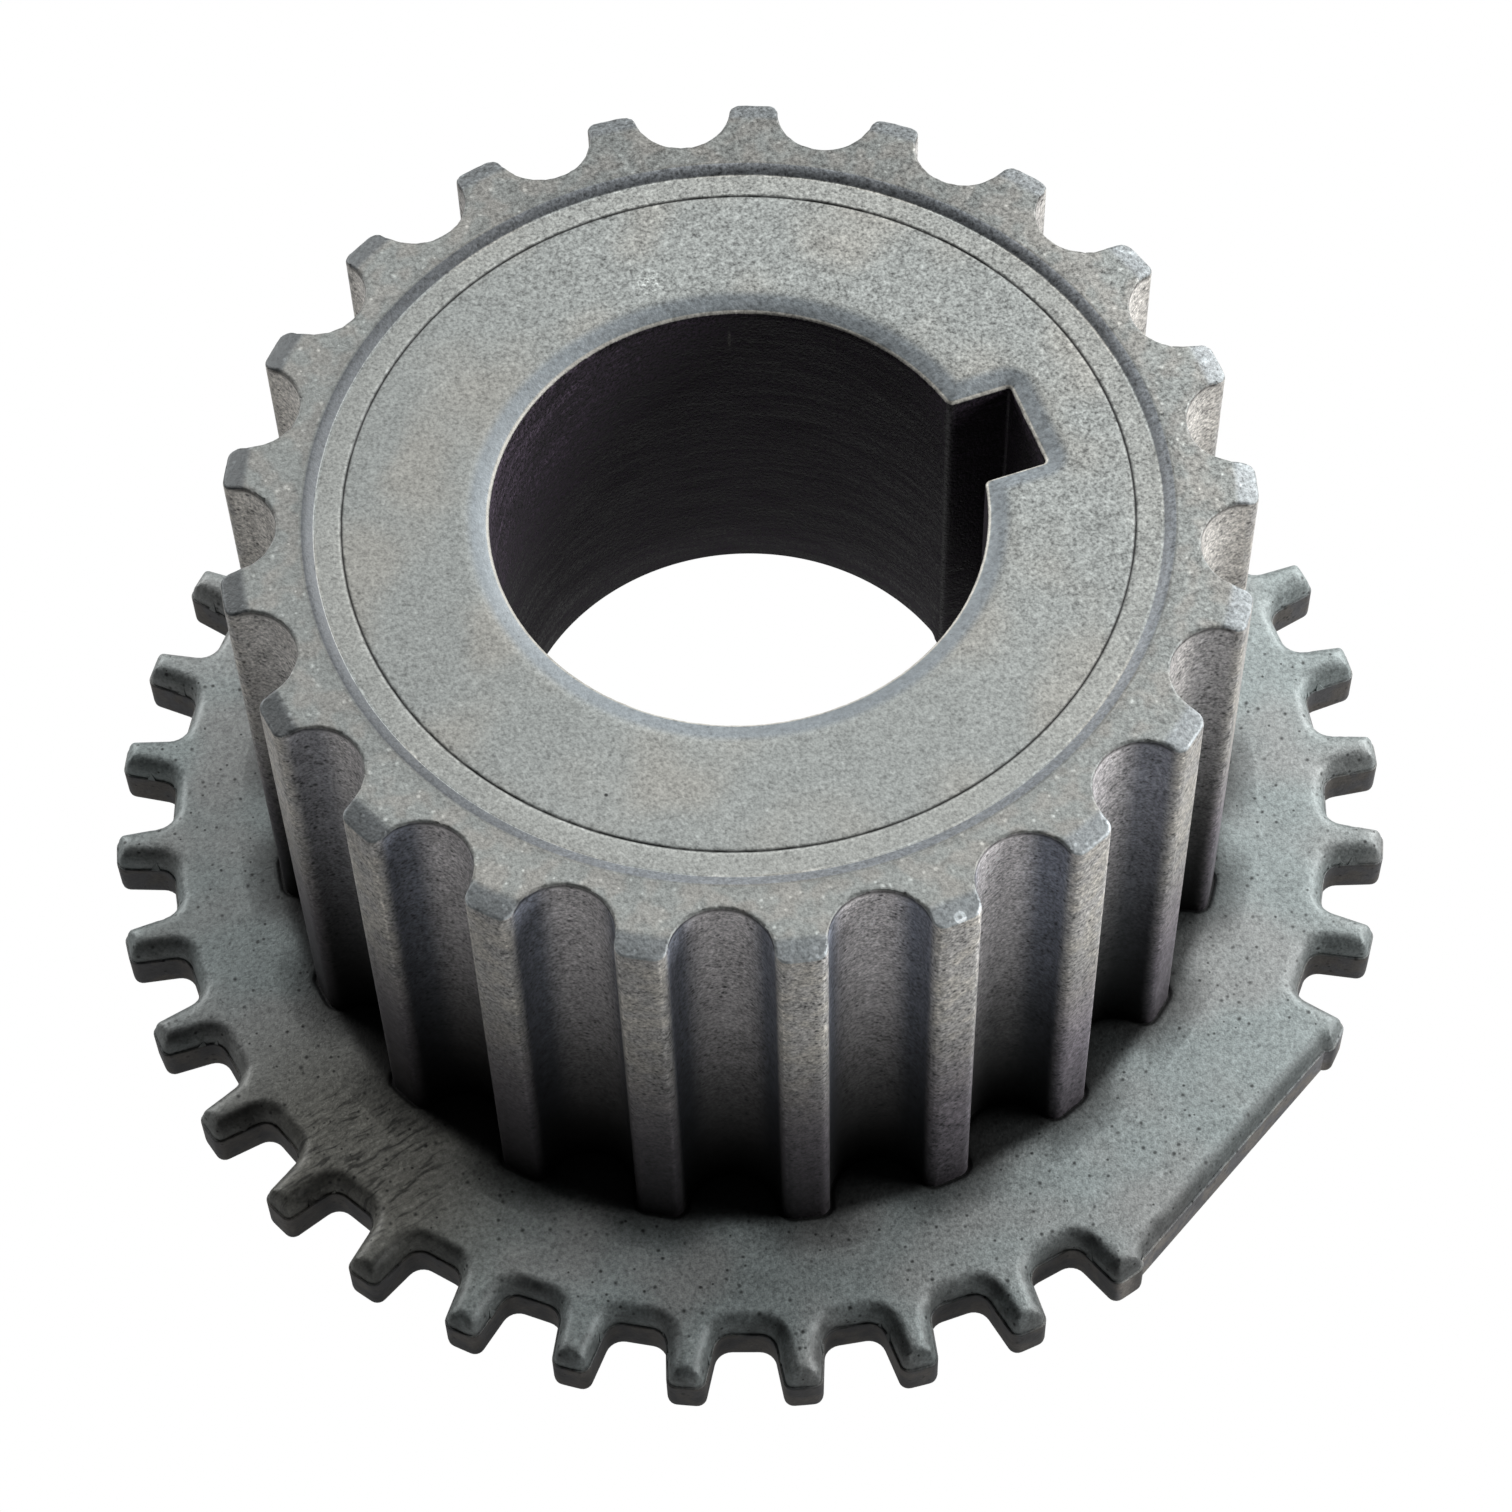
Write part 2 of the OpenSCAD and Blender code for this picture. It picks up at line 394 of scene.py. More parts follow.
z_D = z[:len(D)]
z_K = z[len(D):len(D) + len(K)]

# ---------------------------------------------------------------- bore and keyway wall, lower rim
nK = normals(K)
# the lower chamfer follows the bore only, and runs out beside the keyway
kr = np.hypot(K[:, 0], K[:, 1])
ka_ = np.degrees(np.abs(np.arctan2(K[:, 1], K[:, 0])))
k_fade = ((kr < BORE_R + 1e-6) * smooth(13.3, 19.0, ka_))[:, None]
rows = [up(K, z_K)]
for t in [0.02, 0.05, 0.12, 0.25, 0.4, 0.55, 0.7, 0.85, 1.0]:
    rows.append(up(K, z_K + (UNDER_Z + 0.5 - z_K) * t))
for s, zz in [(0.12, 0.36), (0.3, 0.16), (0.5, 0.0)]:
    rows.append(up(K - nK * s * k_fade, UNDER_Z + zz))
wall(rows, flip=False)
K_low = K - nK * 0.5 * k_fade

# ---------------------------------------------------------------- drum wall
foot_z = FLANGE - 0.10
rows = [up(D, z_D)]
for t in [0.01, 0.06, 0.2, 0.4, 0.6, 0.8, 0.94, 0.99, 1.0]:
    rows.append(up(D, z_D + (foot_z - z_D) * t))
wall(rows, flip=True)


# ---------------------------------------------------------------- flange top with rolled rim
def flange_height(p):
    z = np.full(len(p), FLANGE)
    dt = dist_to(T, p)
    x = np.clip((ROLL_W - dt) / (ROLL_W - LEDGE), 0, 1)
    drop = (FLANGE - WALL_TOP) * (1 - np.sqrt(np.clip(1 - x * x, 0, 1)))
    z = z - drop
    z = z - round_edge(dt, 0.05) * (dt < 0.05)
    dd = dist_to(D, p)
    z = z - 0.10 * (1 - smooth(0.10, 0.30, dd))
    z = z + 0.018 * wob(p, 0.22, 3.0, 2) * smooth(0.3, 1.5, dd) * smooth(0.2, 1.4, dt)
    return z


t_deltas = [0.02, 0.05, LEDGE, 0.127, 0.155, 0.22, 0.32, 0.46, 0.62, 0.8, 0.97, 1.25]
t_rings = offset_rings(T, t_deltas, 1)
o_rings = offset_rings(D, [0.05, 0.1, 0.16, 0.23, 0.31, 0.5, 0.9, 1.5], -1)
circles = [ring(r, n, ph) for r, n, ph in [
    (26.7, 240, 0), (27.4, 240, .01), (28.1, 240, 0), (28.8, 250, .01), (29.5, 260, 0), (30.2, 270, .01), (30.9, 300, 0), (31.5, 320, 0), (32.2, 340, 0), (32.9, 340, .01), (33.5, 340, 0)]]
v, f = fill(T, D, t_rings[:8] + o_rings[:5] + t_rings[8:] + o_rings[5:] + circles, cell=0.03)
z = flange_height(v)
z[len(T):len(T) + len(D)] = foot_z
add(up(v, z), f)
z_T = z[:len(T)]

# ---------------------------------------------------------------- flange rim wall and lower edge
nT = normals(T)
rows = [up(T, z_T)]
for zz in [WALL_TOP - 0.12, 1.2, 0.28]:
    rows.append(up(T, zz))
BR = 0.16
for a in (30, 60, 90):
    rows.append(up(T + nT * BR * (1 - math.cos(rad(a))), BR * (1 - math.sin(rad(a)))))
wall(rows, flip=True)
T_low = T + nT * BR

# ---------------------------------------------------------------- underside
mouth = ring(UNDER_R + 0.6, 240)
low_sets = [ring(r, 200, .01 * (i % 2)) for i, r in enumerate([19.6, 20.5, 21.8, 23.2, 24.6, 26.0, 27.4, 28.8, 30.2, 31.4])]
low_sets += offset_rings(T_low, [0.1, 0.3, 0.7], 1)
v, f = fill(T_low, mouth, low_sets)
add(up(v, 0.0), [t[::-1] for t in f])
rows = [up(mouth, 0.0)]
for r, zz in [(18.82, 0.18), (18.58, 0.42), (18.4, 0.6), (18.4, 1.2), (18.4, 3.0), (18.4, 5.0), (18.4, 7.0), (18.4, 7.5), (18.34, 7.78), (18.2, 8.0), (17.98, 8.14), (17.7, 8.2)]:
    rows.append(up(ring(r, 240), zz))
wall(rows, flip=True)
v, f = fill(ring(17.7, 240), K_low, [ring(r, 180, .01 * (i % 2)) for i, r in enumerate([13.6, 14.3, 15.0, 15.8, 16.6, 17.2])] + offset_rings(K_low, [0.1, 0.4], -1))
add(up(v, UNDER_Z), [t[::-1] for t in f])

# ---------------------------------------------------------------- one mesh from all the patches
verts, faces, base = [], [], 0
for v, f in PARTS:
    verts.append(v)
    faces += [[i + base for i in q] for q in f]
    base += len(v)
verts = np.vstack(verts) * 0.001
mesh = bpy.data.meshes.new("timing_gear_body")
mesh.from_pydata(verts.tolist(), [], faces)
import bmesh
bm = bmesh.new()
bm.from_mesh(mesh)
bmesh.ops.remove_doubles(bm, verts=bm.verts, dist=2e-6)
bmesh.ops.dissolve_degenerate(bm, dist=1e-7, edges=bm.edges)
loose = [vt for vt in bm.verts if not vt.link_faces]
bmesh.ops.delete(bm, geom=loose, context="VERTS")
bmesh.ops.recalc_face_normals(bm, faces=bm.faces)
bm.to_mesh(mesh)
bm.free()
mesh.polygons.foreach_set("use_smooth", [True] * len(mesh.polygons))
mesh.set_sharp_from_angle(angle=math.radians(42))
gear = bpy.data.objects.new("timing_gear_body", mesh)
bpy.context.scene.collection.objects.link(gear)
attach(gear, "root")
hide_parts("timing_gear")

# ---------------------------------------------------------------- distances that the finish follows, in millimetres
co = np.empty(len(mesh.vertices) * 3)
mesh.vertices.foreach_get("co", co)
co = co.reshape(-1, 3) * 1000.0
rr_all = np.hypot(co[:, 0], co[:, 1])


def near(loop, sel):
    out = np.full(len(co), 9.0)
    out[sel] = dist_to(loop, co[sel, :2])
    return out


is_top = co[:, 2] > 30.6
is_flange = (co[:, 2] < 3.6) & (rr_all > 22.9)
fields = {
    "d_bore": near(K, is_top & (rr_all < 18.5)),
    "d_drum": near(D, (is_top & (rr_all > 22.3)) | (is_flange & (rr_all < 28.5))),
    "d_rim": near(T, is_flange & (rr_all > 29.5)),
}
for name, val in fields.items():
    at = mesh.attributes.new(name, "FLOAT", "POINT")
    at.data.foreach_set("value", val.astype(np.float32))

# ---------------------------------------------------------------- materials
mat = bpy.data.materials.new("sintered_steel")
mat.use_nodes = True
nt = mat.node_tree
nt.nodes.clear()


class G:
    """Short names for building the node graph."""

    def __init__(self, tree):
        self.t = tree

    def node(self, kind, **kw):
        n = self.t.nodes.new(kind)
        for k, v in kw.items():
            setattr(n, k, v)
        return n

    def put(self, sock, v):
        if v is None:
            return
        if isinstance(v, bpy.types.NodeSocket):
            self.t.links.new(v, sock)
        else:
            sock.default_value = v

    def math(self, op, a, b=None, c=None, clamp=False):
        n = self.node("ShaderNodeMath", operation=op, use_clamp=clamp)
        self.put(n.inputs[0], a)
        if b is not None:
            self.put(n.inputs[1], b)
        if c is not None:
            self.put(n.inputs[2], c)
        return n.outputs[0]

    def add(self, a, b): return self.math("ADD", a, b)
    def sub(self, a, b): return self.math("SUBTRACT", a, b)
    def mul(self, a, b): return self.math("MULTIPLY", a, b)
    def div(self, a, b): return self.math("DIVIDE", a, b)
    def mx(self, a, b): return self.math("MAXIMUM", a, b)
    def mn(self, a, b): return self.math("MINIMUM", a, b)
    def pw(self, a, b): return self.math("POWER", a, b)
    def inv(self, a): return self.math("SUBTRACT", 1.0, a)

    def step(self, a, lo, hi, to0=0.0, to1=1.0, smooth=True):
        n = self.node("ShaderNodeMapRange", interpolation_type="SMOOTHSTEP" if smooth else "LINEAR")
        n.clamp = True
        self.put(n.inputs[0], a)
        for i, v in enumerate((lo, hi, to0, to1)):
            self.put(n.inputs[1 + i], v)
        return n.outputs[0]

    def bell(self, a, mid, half):
        """1 at mid, falling to 0 at half either side."""
        return self.step(self.math("ABSOLUTE", self.sub(a, mid)), 0.0, half, 1.0, 0.0)

    def noise(self, vec, scale, detail=2.0, rough=0.5, distortion=0.0, out="Fac"):
        n = self.node("ShaderNodeTexNoise", noise_dimensions="3D")
        self.put(n.inputs["Vector"], vec)
        n.inputs["Scale"].default_value = scale
        n.inputs["Detail"].default_value = detail
        n.inputs["Roughness"].default_value = rough
        n.inputs["Distortion"].default_value = distortion
        return n.outputs[out]

    def cells(self, vec, scale, out="Distance", feature="F1", rnd=1.0):
        n = self.node("ShaderNodeTexVoronoi", feature=feature)
        self.put(n.inputs["Vector"], vec)
        n.inputs["Scale"].default_value = scale
        n.inputs["Randomness"].default_value = rnd
        return n.outputs[out]

    def mix(self, fac, a, b, blend="MIX"):
        n = self.node("ShaderNodeMix", data_type="RGBA", blend_type=blend)
        n.clamp_factor = True
        self.put(n.inputs[0], fac)
        self.put(n.inputs[6], a)
        self.put(n.inputs[7], b)
        return n.outputs[2]

    def mix_f(self, fac, a, b):
        n = self.node("ShaderNodeMix", data_type="FLOAT")
        n.clamp_factor = True
        self.put(n.inputs[0], fac)
        self.put(n.inputs[2], a)
        self.put(n.inputs[3], b)
        return n.outputs[0]

    def curve(self, x, pts):
        """Straight lines through the points (height in mm, value), level beyond both ends."""
        n = self.node("ShaderNodeFloatCurve")
        n.mapping.extend = "HORIZONTAL"
        line = n.mapping.curves[0].points
        line[0].location = (pts[0][0] / 32.0, pts[0][1])
        line[1].location = (pts[-1][0] / 32.0, pts[-1][1])
        for x0, y0 in pts[1:-1]:
            line.new(x0 / 32.0, y0)
        for p in line:
            p.handle_type = "VECTOR"
        n.mapping.update()
        self.put(n.inputs["Value"], self.mul(x, 1 / 32.0))
        return n.outputs[0]

    def stretch(self, vec, k):
        n = self.node("ShaderNodeVectorMath", operation="MULTIPLY")
        self.put(n.inputs[0], vec)
        n.inputs[1].default_value = k
        return n.outputs[0]

    def scale(self, col, k):
        n = self.node("ShaderNodeVectorMath", operation="SCALE")
        self.put(n.inputs[0], col)
        self.put(n.inputs[3], k)
        return n.outputs[0]

    def attr(self, name):
        n = self.node("ShaderNodeAttribute", attribute_type="GEOMETRY", attribute_name=name)
        return n.outputs["Fac"]

    def bump(self, height, strength, dist, normal=None):
        n = self.node("ShaderNodeBump")
        self.put(n.inputs["Strength"], strength)
        n.inputs["Distance"].default_value = dist
        self.put(n.inputs["Height"], height)
        self.put(n.inputs["Normal"], normal)
        return n.outputs[0]


g = G(nt)
out = g.node("ShaderNodeOutputMaterial")
bsdf = g.node("ShaderNodeBsdfPrincipled")
nt.links.new(bsdf.outputs[0], out.inputs[0])
tc = g.node("ShaderNodeTexCoord")
P = g.scale(tc.outputs["Object"], 1000.0)          # position in millimetres
sep = g.node("ShaderNodeSeparateXYZ")
nt.links.new(P, sep.inputs[0])
px, py, pz = sep.outputs
r = g.math("SQRT", g.add(g.mul(px, px), g.mul(py, py)))
d_bore, d_drum, d_rim = g.attr("d_bore"), g.attr("d_drum"), g.attr("d_rim")

# where a point is
nsep = g.node("ShaderNodeSeparateXYZ")
nt.links.new(tc.outputs["Normal"], nsep.inputs[0])
faces_up = g.step(nsep.outputs[2], 0.22, 0.50)
high = g.mul(g.step(pz, 30.55, 30.75), faces_up)                   # hub face and tooth ends
in_bore = g.mul(g.step(r, 17.2, 17.4, 1.0, 0.0), g.inv(high))
under = g.mul(g.step(pz, 0.10, 0.16, 1.0, 0.0), g.step(r, 18.2, 18.6))
wall_m = g.mul(g.mul(g.step(r, 20.0, 21.0), g.step(r, 26.15, 26.25, 1.0, 0.0)), g.mul(g.inv(faces_up), g.step(pz, 3.1, 3.3)))
groove = g.mul(wall_m, g.step(r, 25.25, 25.95, 1.0, 0.0))
land = g.mul(wall_m, g.step(r, 25.85, 26.02))
ringm = g.mul(high, g.step(r, 21.85, 22.05))
bevel = g.mul(high, g.step(r, 24.70, 25.15))
annul = g.mul(high, g.mul(g.step(r, 19.88, 19.98), g.step(r, 21.1, 21.2, 1.0, 0.0)))
flange_m = g.mul(g.mul(g.step(pz, 3.75, 3.85, 1.0, 0.0), g.inv(wall_m)), g.step(r, 22.8, 23.0))
rim_wall = g.mul(flange_m, g.mul(g.step(pz, 2.20, 2.30, 1.0, 0.0), g.inv(under)))

# direction round the axis, as cosines with three fixed directions of the part
r_safe = g.mx(r, 0.5)
ux, uy = g.div(px, r_safe), g.div(py, r_safe)


def toward(deg):
    return g.math("MULTIPLY_ADD", ux, math.cos(rad(deg)), g.mul(uy, math.sin(rad(deg))))


def spot(x, y, z, lo, hi):
    n = g.node("ShaderNodeVectorMath", operation="DISTANCE")
    g.put(n.inputs[0], P)
    n.inputs[1].default_value = (x, y, z)
    return g.step(n.outputs["Value"], lo, hi, 1.0, 0.0)


back, right_side = toward(72.0), toward(-30.0)
left_side = toward(162.0)
z_top = g.sub(TOP, g.mul(g.pw(g.math("DIVIDE", g.sub(r, BEVEL_R0), TIP_R - BEVEL_R0, clamp=True), 1.15), BEVEL_H))
d_edge = g.sub(z_top, pz)                                          # depth below the ring on the drum wall

# grain
g1 = g.noise(P, 5.6, 1.0, 0.8)
g2 = g.noise(P, 2.9, 1.0, 0.6)
g3 = g.noise(P, 0.8, 1.0, 0.55)
g4 = g.noise(P, 0.16, 1.0, 0.5)
n1, n2, n3, n4 = g.sub(g1, 0.5), g.sub(g2, 0.5), g.sub(g3, 0.5), g.sub(g4, 0.5)
smooth_rim = g.mul(high, g.step(d_bore, 0.55, 1.25, 1.0, 0.0))
# painted light: the grain is given more contrast towards the far side, as grazing light shows it there
painted_grazing_grain = g.mul(high, g.step(toward(35.0), -0.35, 0.75))
amp = g.add(1.25, g.add(g.mul(wall_m, 1.2), g.add(g.mul(in_bore, 4.5), g.mul(painted_grazing_grain, 0.95))))
tone = g.add(1.0, g.mul(g.mul(n1, amp), g.inv(g.mul(smooth_rim, 0.6))))
tone = g.add(tone, g.mul(n2, g.add(0.42, g.add(g.mul(wall_m, 0.60), g.add(g.mul(flange_m, 0.15), g.mul(painted_grazing_grain, 0.65))))))
tone = g.add(tone, g.mul(n3, g.add(0.14, g.add(g.mul(wall_m, 0.55), g.mul(flange_m, 0.10)))))
tone = g.add(tone, g.mul(n4, g.add(0.16, g.mul(flange_m, 0.22))))

# colour by place
hub_c = (0.332, 0.352, 0.342, 1)
warm_c = (0.348, 0.348, 0.324, 1)
base = g.mix(g.step(g4, 0.42, 0.66), hub_c, warm_c)
base = g.mix(g.mul(annul, 0.8), base, (0.372, 0.385, 0.368, 1))
base = g.mix(g.mul(ringm, 0.8), base, g.mix(g.step(g3, 0.40, 0.62), (0.305, 0.325, 0.315, 1), (0.318, 0.315, 0.296, 1)))
# painted reflection: the bluish colours of the tooth-end bevel and of the band along the bore chamfer stand in for what
# these sloped faces reflect
base = g.mix(g.mul(bevel, 0.8), base, (0.322, 0.352, 0.369, 1))
blue_band = g.mul(high, g.mul(g.step(d_bore, 0.75, 1.30, 1.0, 0.0), g.step(d_bore, 0.12, 0.20)))
base = g.mix(g.mul(blue_band, 0.85), base, (0.244, 0.276, 0.300, 1))
# painted highlight: the rounded edge of the bore and keyway is drawn as a bright line
base = g.mix(g.mul(high, g.mul(g.step(d_bore, 0.10, 0.18, 1.0, 0.0), 0.85)), base, (0.66, 0.64, 0.58, 1))
# a darker olive patch round the scuffed place on the flange: partly stain, partly painted shade on the side away from
# the lights
oliv = spot(-27.0, -14.5, FLANGE, 3.0, 13.0)
flange_c = g.mix(g.step(g4, 0.38, 0.64), (0.345, 0.392, 0.390, 1), (0.335, 0.350, 0.345, 1))
flange_c = g.mix(oliv, flange_c, (0.232, 0.230, 0.205, 1))
base = g.mix(flange_m, base, flange_c)
# painted shade: the flange rim wall gets a dark colour for the little light that reaches it from below
base = g.mix(rim_wall, base, g.mix(g.step(g3, 0.40, 0.60), (0.155, 0.143, 0.130, 1), (0.128, 0.128, 0.134, 1)))
base = g.mix(wall_m, base, g.mix(g.step(g3, 0.38, 0.62), (0.428, 0.418, 0.405, 1), (0.430, 0.412, 0.380, 1)))
# painted light and shade: the groove colours are graded by direction round the axis, with a dark painted shadow in the
# groove bottoms on the near side and a darker colour at the back
near_groove = g.step(toward(-108.0), 0.1, 0.75)
g_side = g.mul(g.step(r, 23.22, 24.25), near_groove)
g_mid = g.mix(near_groove, (0.640, 0.620, 0.590, 1), (0.590, 0.566, 0.572, 1))
g_mid = g.mix(g.step(back, 0.55, 0.88), g_mid, (0.440, 0.428, 0.412, 1))
base = g.mix(groove, base, g.mix(g_side, g_mid, (0.190, 0.205, 0.245, 1)))
# painted shade: the lower part of the lands is tinted purple, the colour of their shade
base = g.mix(g.mul(g.inv(groove), g.mul(wall_m, g.step(pz, 9.0, 21.0, 0.85, 0.0))), base, (0.415, 0.365, 0.435, 1))
# painted shade: the bore wall gets a nearly black colour
base = g.mix(in_bore, base, (0.030, 0.022, 0.033, 1))
# painted highlight: lighter lines on the edges where the keyway leaves the bore
key_edge = g.mul(in_bore, g.mul(g.bell(g.math("ABSOLUTE", py), 2.62, 0.16), g.mul(g.step(px, 11.9, 12.1), g.step(px, 12.5, 12.8, 1.0, 0.0))))
base = g.mix(g.mul(key_edge, 0.8), base, (0.20, 0.20, 0.20, 1))
base = g.mix(under, base, (0.25, 0.25, 0.245, 1))

# painted shade: darker towards the foot of the drum, where the flange lies close, and less so on the right side, which
# faces the lights
land_z = g.curve(pz, [(4.0, 0.05), (8.0, 0.09), (11.0, 0.13), (14.0, 0.23), (17.0, 0.40), (20.0, 0.62), (24.0, 0.95), (27.0, 1.0)])
land_r = g.curve(pz, [(4.0, 0.15), (8.0, 0.27), (11.0, 0.38), (14.0, 0.52), (17.0, 0.64), (20.0, 0.82), (24.0, 0.97), (27.0, 1.0)])
land_z = g.mix_f(g.step(right_side, 0.2, 0.95), land_z, land_r)
groove_z = g.curve(pz, [(3.5, 0.01), (6.0, 0.02), (8.0, 0.05), (11.0, 0.12), (14.0, 0.22), (18.0, 0.45), (24.0, 0.78), (28.5, 1.0)])
tone = g.mul(tone, g.mix_f(wall_m, 1.0, g.mix_f(groove, land_z, groove_z)))

# painted light: the drum wall is made lighter on the front right side
tone = g.mul(tone, g.add(1.0, g.mul(g.mul(wall_m, g.step(toward(-82.0), 0.84, 0.99)), 0.30)))

# painted shade: the hub face and tooth ends are darker on the left, away from the lights
tone = g.mul(tone, g.inv(g.mul(g.mul(g.mul(high, g.inv(ringm)), g.step(left_side, 0.3, 1.0)), 0.09)))

# dark pores, and bright specks that are metal grains with a painted glint
cell = g.node("ShaderNodeTexVoronoi", feature="F1")
g.put(cell.inputs["Vector"], P)
cell.inputs["Scale"].default_value = 2.2
cell_c = g.node("ShaderNodeSeparateColor")
nt.links.new(cell.outputs["Color"], cell_c.inputs[0])
dot = g.step(cell.outputs["Distance"], 0.072, g.math("MULTIPLY_ADD", cell_c.outputs[0], 0.27, 0.153), 1.0, 0.0)
kind = g.step(cell_c.outputs[1], 0.60, 0.64)
pore, speck_glint = g.mul(dot, kind), g.mul(dot, g.inv(kind))
speck_glint_amt = g.add(g.mul(high, 0.22), g.mul(ringm, 0.62))
pore_amt = g.add(0.30, g.mul(g.add(flange_m, wall_m), 0.50))
tone = g.mul(tone, g.inv(g.mul(pore, pore_amt)))
tone = g.mul(tone, g.add(1.0, g.mul(g.mul(speck_glint, speck_glint_amt), 0.8)))

# seam line with its light edge, sloped step with its foot and shoulder lines
tone = g.mul(tone, g.inv(g.mul(g.mul(high, g.bell(r, 19.86, 0.135)), 0.97)))
tone = g.mul(tone, g.add(1.0, g.mul(g.mul(high, g.bell(r, 20.02, 0.09)), 0.12)))
tone = g.mul(tone, g.add(1.0, g.mul(g.mul(high, g.bell(r, 21.20, 0.11)), 0.42)))
slope = g.mul(high, g.mul(g.step(r, 21.24, 21.32), g.step(r, 21.80, 21.90, 1.0, 0.0)))
# painted reflection: the slope of the step gets a blue-grey colour
base = g.mix(g.mul(slope, 0.85), base, (0.218, 0.238, 0.262, 1))
near_step = g.step(toward(-120.0), 0.1, 0.8)
# painted shade on the slope: on the left, on the near side, and on its inner part towards the back right
tone = g.mul(tone, g.inv(g.mul(g.mul(slope, g.step(left_side, 0.1, 0.8)), 0.56)))
tone = g.mul(tone, g.inv(g.mul(g.mul(slope, near_step), 0.12)))
tone = g.mul(tone, g.inv(g.mul(g.mul(g.mul(slope, g.step(r, 21.32, 21.70, 1.0, 0.0)), g.step(toward(40.0), 0.0, 0.6)), 0.45)))
tone = g.mul(tone, g.inv(g.mul(g.mul(high, g.bell(r, 21.89, 0.09)), 0.34)))
# painted shade: a soft darker band outside the shoulder of the step
tone = g.mul(tone, g.inv(g.mul(g.mul(high, g.mul(g.step(r, 21.85, 21.95), g.step(r, 21.95, 22.6, 1.0, 0.0))), 0.12)))
# the ring is darker on the far side from the key light
tone = g.mul(tone, g.inv(g.mul(g.mul(ringm, g.step(back, 0.55, 0.98)), 0.30)))
tone = g.mul(tone, g.inv(g.mul(g.mul(ringm, g.step(left_side, 0.5, 0.95)), 0.12)))
# painted shade: the bevel is darker on the left and at the back
tone = g.mul(tone, g.inv(g.mul(g.mul(bevel, g.step(left_side, 0.25, 1.0)), 0.64)))
tone = g.mul(tone, g.inv(g.mul(g.mul(bevel, g.step(back, 0.3, 0.9)), 0.15)))

# rounded outer ends of the teeth with a painted highlight, strongest on the near side, painted shade on the lips of the
# grooves, and a ragged dark burr below
lip = g.mul(high, g.step(d_drum, 0.10, 0.20, 1.0, 0.0))
tone = g.mul(tone, g.add(1.0, g.mul(lip, g.sub(g.mul(g.step(r, 25.4, 25.8), g.step(toward(-128.0), -0.2, 0.8, 0.20, 0.85)), 0.22))))
burr = g.mul(g.mul(wall_m, g.step(r, 25.3, 25.7, 1.0, 0.0)), g.step(d_edge, 0.16, g.add(0.16, g.mul(g1, 0.50)), 1.0, 0.0))
tone = g.mul(tone, g.inv(g.mul(burr, 0.75)))
# painted highlight in patches along the corners of the teeth
painted_corner_highlight = g.mul(g.mul(wall_m, g.bell(r, 25.965, 0.06)), g.step(g2, 0.35, 0.6))
tone = g.mul(tone, g.add(1.0, g.mul(painted_corner_highlight, 0.35)))

# double line where the rolled rim of the flange ends; painted light and shade on the rim wall and roll; dark foot line
# round the drum, which is painted shade
# painted light: the double line is lightened a little against the shade in its corner
rim_line_painted_light = g.mul(flange_m, g.mx(g.bell(d_rim, 0.15, 0.06), g.bell(d_rim, 0.02, 0.03)))
tone = g.mul(tone, g.add(1.0, g.mul(rim_line_painted_light, 0.10)))
# painted light: the rim wall is a little lighter on the near side
tone = g.mul(tone, g.add(1.0, g.mul(g.mul(rim_wall, near_step), 0.10)))
# painted shade with dirt: the roll is darker all round and more on the near side, and the mottling there is dirt
roll_m = g.mul(flange_m, g.step(d_rim, 0.55, 1.05, 1.0, 0.0))
tone = g.mul(tone, g.inv(g.mul(roll_m, g.add(0.28, g.mul(near_step, g.add(0.24, g.mul(n3, 0.9)))))))
flat_wall = g.mul(rim_wall, g.bell(g.add(g.mul(px, math.cos(rad(FLAT_A))), g.mul(py, math.sin(rad(FLAT_A)))), FLAT_D, 0.3))
tone = g.mul(tone, g.add(1.0, g.mul(flat_wall, 2.0)))
flat_roll = g.mul(roll_m, g.step(g.add(g.mul(px, math.cos(rad(FLAT_A))), g.mul(py, math.sin(rad(FLAT_A)))), FLAT_D - 1.1, FLAT_D - 0.5))
tone = g.mul(tone, g.inv(g.mul(g.mul(flat_roll, g.step(toward(FLAT_A), 0.97, 0.985)), 0.28)))
# painted shade: on the near side, the faces of the roll turned to the right are darkened against the light they catch
faces_right = g.add(g.mul(nsep.outputs[0], math.cos(rad(-20.0))), g.mul(nsep.outputs[1], math.sin(rad(-20.0))))
tone = g.mul(tone, g.inv(g.mul(g.mul(roll_m, g.step(toward(-100.0), 0.0, 0.6)), g.step(faces_right, 0.05, 0.60, 0.0, 0.34))))
flange_top = g.mul(flange_m, g.step(pz, 2.4, 2.9))
# painted shade in the corner at the foot of the drum
foot_line = g.mul(flange_top, g.step(d_drum, 0.10, 0.32, 1.0, 0.0))
tone = g.mul(tone, g.inv(g.mul(foot_line, 0.85)))
# painted shade on the flange inside the grooves, strongest on the near side
in_groove = g.mul(flange_top, g.step(r, 25.6, 26.7, 1.0, 0.0))
tone = g.mul(tone, g.inv(g.mul(in_groove, g.step(toward(-125.0), -0.6, 0.6, 0.45, 0.88))))
# painted shadow of the drum: the flange is darker close round its foot
foot_soft = g.mul(flange_top, g.step(d_drum, 0.2, 3.2, 1.0, 0.0))
tone = g.mul(tone, g.inv(g.mul(foot_soft, 0.66)))

